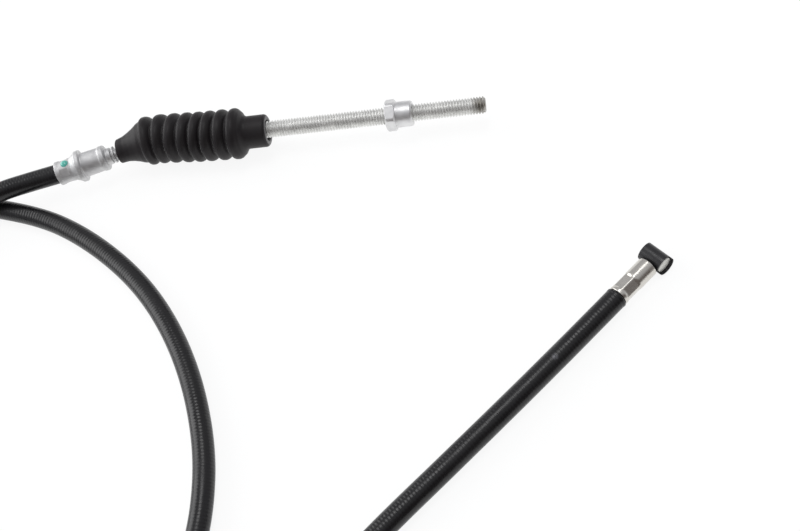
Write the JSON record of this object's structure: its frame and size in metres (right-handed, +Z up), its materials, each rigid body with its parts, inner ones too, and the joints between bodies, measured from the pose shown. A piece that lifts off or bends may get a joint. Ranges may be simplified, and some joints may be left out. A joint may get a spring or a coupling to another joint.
{
  "type": "rear brake cable",
  "caption": "Rear drum-brake cable with a threaded pull rod, adjusting nut, bellows boot, black casing laid in loose turns and a barrel nipple in a sleeve.",
  "frame": {"origin": "below the middle of the rod, boot, ferrules and nipple, on the plane the cable lies on", "axes": "+X along the pull rod towards its threaded tip, +Y from the coils towards the rod, +Z up"},
  "size_m": [0.3078, 0.2282, 0.018],
  "materials": {
    "black_pvc": "semi-gloss extruded PVC, faint fine ribs across it",
    "black_rubber": "moulded black rubber, matt with a dusty grey bloom",
    "black_nylon": "moulded black nylon, semi-gloss",
    "white_nylon": "extruded natural nylon",
    "zinc_plate": "bright zinc-plated steel, satin",
    "nickel_plate": "bright nickel-plated steel",
    "spring_steel": "drawn spring steel, lightly oiled",
    "die_cast_zinc": "die-cast zinc alloy, dull grey"
  },
  "bodies": {
    "casing": {"outer_sheath": "black_pvc", "spiral_conduit": "spring_steel", "inner_liner": "white_nylon", "inner_wire": "spring_steel", "rear_ferrule": "zinc_plate", "front_ferrule": "nickel_plate", "rubber_boot": "black_rubber"},
    "pull_rod": {"threaded_rod": "zinc_plate"},
    "adjuster": {"adjusting_nut": "zinc_plate"},
    "lever_nipple": {"barrel_nipple": "die_cast_zinc", "nipple_sleeve": "black_nylon"}
  },
  "joints": [
    {"name": "wire_pull", "type": "slide", "parent": "casing", "child": "pull_rod", "axis": [-1, 0, 0], "range_m": [0, 0.018], "deforming": ["rubber_boot", "inner_wire"]},
    {"name": "nipple_travel", "type": "slide", "parent": "casing", "child": "lever_nipple", "axis": [0.723, 0.6909, 0], "range_m": [0, 0.018]},
    {"name": "nut_turn", "type": "hinge", "parent": "pull_rod", "child": "adjuster", "pos_m": [0.0208, 0.034, 0.009], "axis": [1, 0, 0], "continuous": true}
  ],
  "couplings": [
    {"joint": "nipple_travel", "follows": "wire_pull", "ratio": 1}
  ]
}
